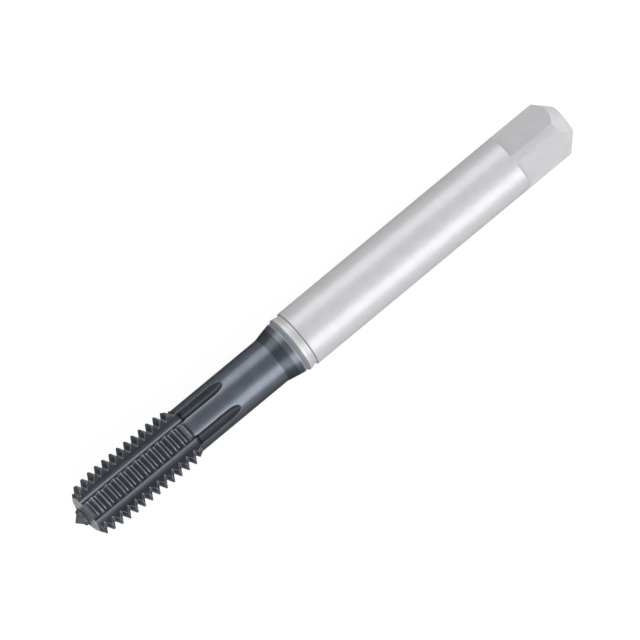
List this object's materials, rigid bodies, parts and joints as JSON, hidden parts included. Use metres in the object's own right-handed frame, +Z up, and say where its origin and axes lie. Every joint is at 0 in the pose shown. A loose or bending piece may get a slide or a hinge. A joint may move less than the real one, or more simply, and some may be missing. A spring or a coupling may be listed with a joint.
{
  "type": "thread forming tap",
  "caption": "Thread forming tap with lobed forming threads, oil grooves, a reduced neck and a square-ended round shank, for pressing a metric thread into a drilled hole.",
  "frame": {"origin": "bottom centre of the tap's box: under the middle of its length, on the surface that the shank lies on", "axes": "+X from the threaded end to the square end along the tap's own axis, +Z up, with one lobe and one corner of the square facing up"},
  "size_m": [0.1, 0.01, 0.01],
  "materials": {
    "tool_steel": "ground bright shank, dark blue-grey coating from the point to the end of the neck"
  },
  "bodies": {
    "root": {"forming_tap": "tool_steel"}
  },
  "joints": []
}
